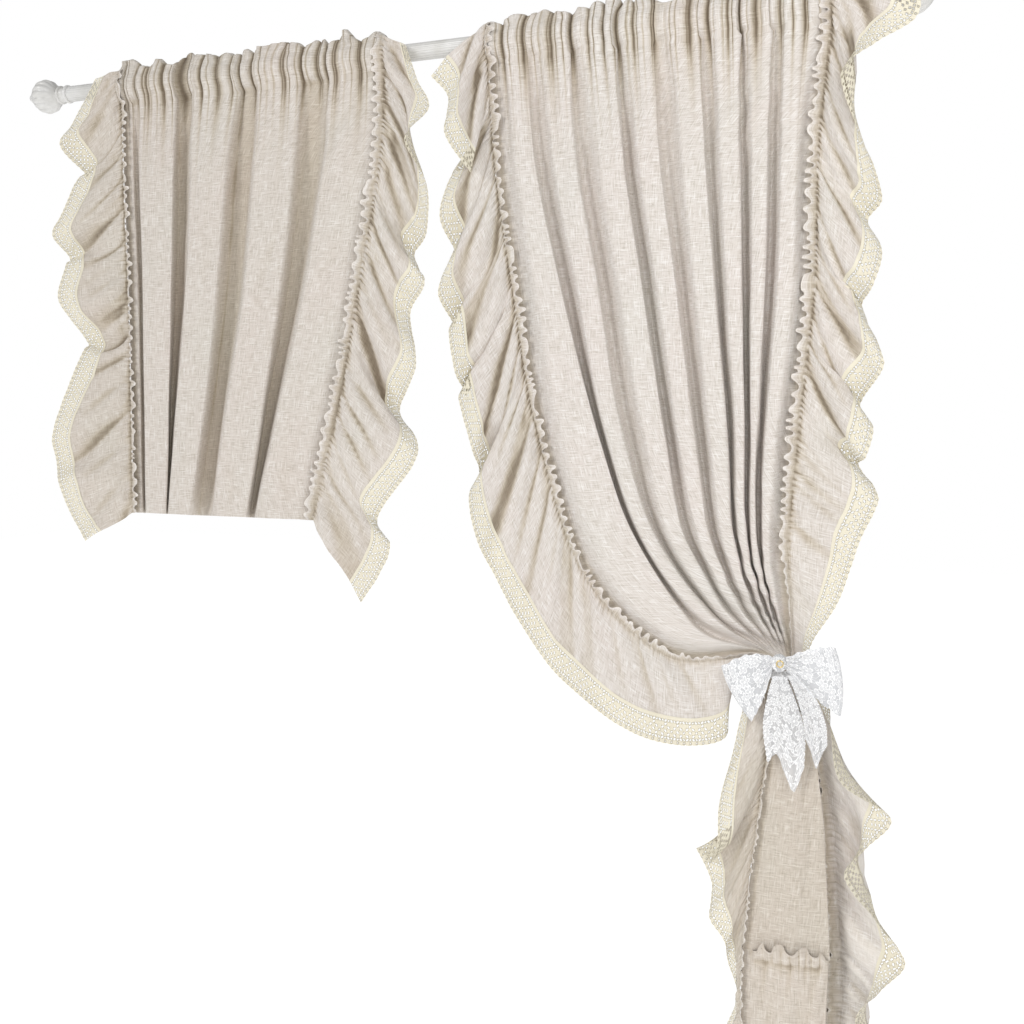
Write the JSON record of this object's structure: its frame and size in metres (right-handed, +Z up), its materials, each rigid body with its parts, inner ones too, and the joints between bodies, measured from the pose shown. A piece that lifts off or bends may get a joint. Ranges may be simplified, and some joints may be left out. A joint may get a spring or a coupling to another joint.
{
  "type": "ruffled curtain pair and rod",
  "caption": "Linen curtain pair with wide lace-edged side ruffles, shirred on a painted rod with turned finials; the right panel is drawn aside and tied with a lace bow.",
  "frame": {"origin": "on the rod's axis, midway between the two finials", "axes": "+X along the rod to the right as seen from the room, +Y to the wall, +Z up"},
  "size_m": [2.054, 0.1276, 1.9994],
  "materials": {
    "painted_rod": "white painted, satin",
    "linen": "slubby oatmeal linen weave",
    "cream_lace": "cream cotton bobbin lace",
    "white_lace": "white floral net lace, semi-sheer",
    "gold_ring": "polished"
  },
  "bodies": {
    "root": {"rod": "painted_rod", "finial_left": "painted_rod", "finial_right": "painted_rod", "panel_left": "linen", "panel_right": "linen", "ruffle_left_outer": "linen", "ruffle_left_inner": "linen", "ruffle_right_inner": "linen", "ruffle_right_outer": "linen", "ruffle_bottom": "linen", "lace_left_outer": "cream_lace", "lace_left_inner": "cream_lace", "lace_right_inner": "cream_lace", "lace_right_outer": "cream_lace", "lace_bottom": "cream_lace", "tie_band": "white_lace", "bow_loop_left": "white_lace", "bow_loop_right": "white_lace", "bow_tail_centre": "white_lace", "bow_tail_right": "white_lace", "bow_knot": "white_lace", "bow_ring": "gold_ring"}
  },
  "joints": []
}
